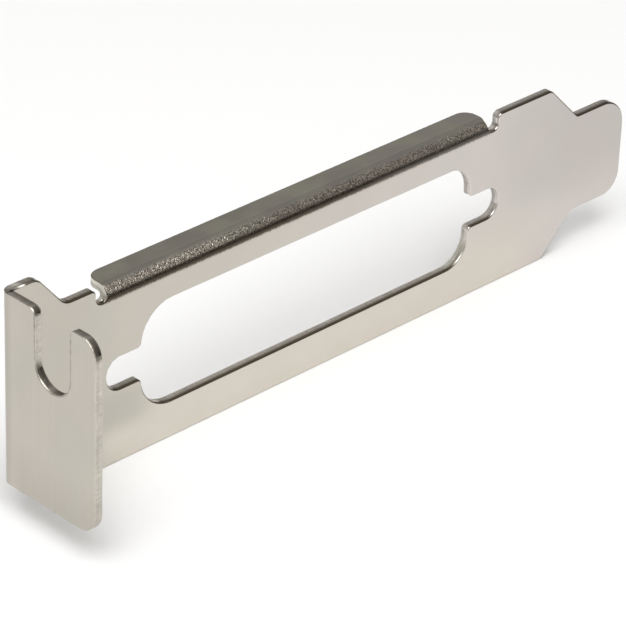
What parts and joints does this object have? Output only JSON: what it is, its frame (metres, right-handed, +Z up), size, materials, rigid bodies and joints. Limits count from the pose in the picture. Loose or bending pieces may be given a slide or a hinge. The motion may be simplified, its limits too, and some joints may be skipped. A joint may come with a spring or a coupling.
{
  "type": "low profile expansion slot bracket",
  "caption": "Folded sheet steel slot bracket with a screw flange, a stiffening lip, a stepped tongue and a long connector cut-out with screw lobes.",
  "frame": {"origin": "centre of the screw slot's round end, on the flange's outer face, where the screw's head presses", "axes": "+X along the plate from the flange to the tongue's tip, +Y from the plate's front face to its back, +Z up towards the lip and the screw slot's mouth"},
  "size_m": [0.0792, 0.0145, 0.022],
  "materials": {
    "plated_steel": "satin nickel plate"
  },
  "bodies": {
    "root": {"bracket": "plated_steel"}
  },
  "joints": []
}
